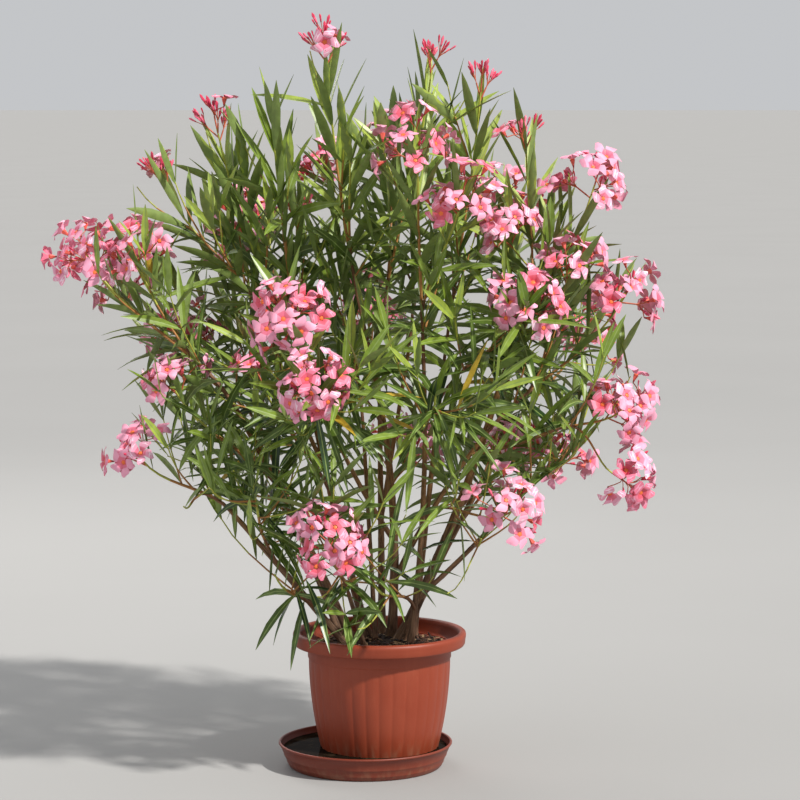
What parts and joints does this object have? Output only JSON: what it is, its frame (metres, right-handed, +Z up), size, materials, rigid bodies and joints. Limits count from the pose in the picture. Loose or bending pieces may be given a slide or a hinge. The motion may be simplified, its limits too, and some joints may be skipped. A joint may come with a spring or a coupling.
{
  "type": "potted oleander",
  "caption": "Flowering oleander shrub with upright stems, narrow leaves and pink flower heads, in a round plastic pot standing in a saucer.",
  "frame": {"origin": "centre of the saucer's flat underside, on the ground", "axes": "+Z up, +X to the right of the front view, +Y away from the front"},
  "size_m": [1.3101, 1.1306, 1.626],
  "materials": {
    "saucer": "dull terracotta plastic, a little darker and redder than the pot",
    "pot": "satin terracotta plastic",
    "soil": null,
    "bark": "grey-brown bark, streaked along the stem",
    "foliage": null
  },
  "bodies": {
    "root": {"saucer": "saucer", "pot": "pot", "soil": "soil", "stem_right": "bark", "stem_centre": "bark", "stem_front": "bark", "stem_inner": "bark", "stem_left_low": "bark", "stem_left_long": "bark", "stem_left_dark": "bark", "stem_thin": "bark", "stem_back_left": "bark", "stem_back": "bark", "stem_back_right": "bark", "stem_front_low": "bark", "bough_centre_left": "bark", "bough_long_right": "bark", "bough_low_right": "bark", "bough_outer_right": "bark", "bough_left_high": "bark", "bough_back_high": "bark", "foliage_right_crest": "foliage", "foliage_right_arm": "foliage", "foliage_right_front": "foliage", "foliage_right_outer": "foliage", "foliage_right_low": "foliage", "foliage_right_inner": "foliage", "foliage_right_under": "foliage", "foliage_front_crest": "foliage", "foliage_front_middle": "foliage", "foliage_inner_top": "foliage", "foliage_centre_top": "foliage", "foliage_centre_crest": "foliage", "foliage_centre_left": "foliage", "foliage_front_upper": "foliage", "foliage_left_low": "foliage", "foliage_left_middle": "foliage", "foliage_left_long": "foliage", "foliage_left_inner": "foliage", "foliage_left_front": "foliage", "foliage_left_crown": "foliage", "foliage_left_top": "foliage", "foliage_left_shoulder": "foliage", "foliage_front_low": "foliage", "foliage_front_left": "foliage", "foliage_heart": "foliage", "foliage_back_left": "foliage", "foliage_back_left_high": "foliage", "foliage_back": "foliage", "foliage_back_high": "foliage", "foliage_back_right": "foliage", "foliage_back_right_high": "foliage", "foliage_back_low": "foliage", "foliage_back_low_left": "foliage", "foliage_back_low_right": "foliage", "foliage_low_left": "foliage", "foliage_low_middle": "foliage", "foliage_low_front": "foliage", "foliage_low_right": "foliage"}
  },
  "joints": []
}
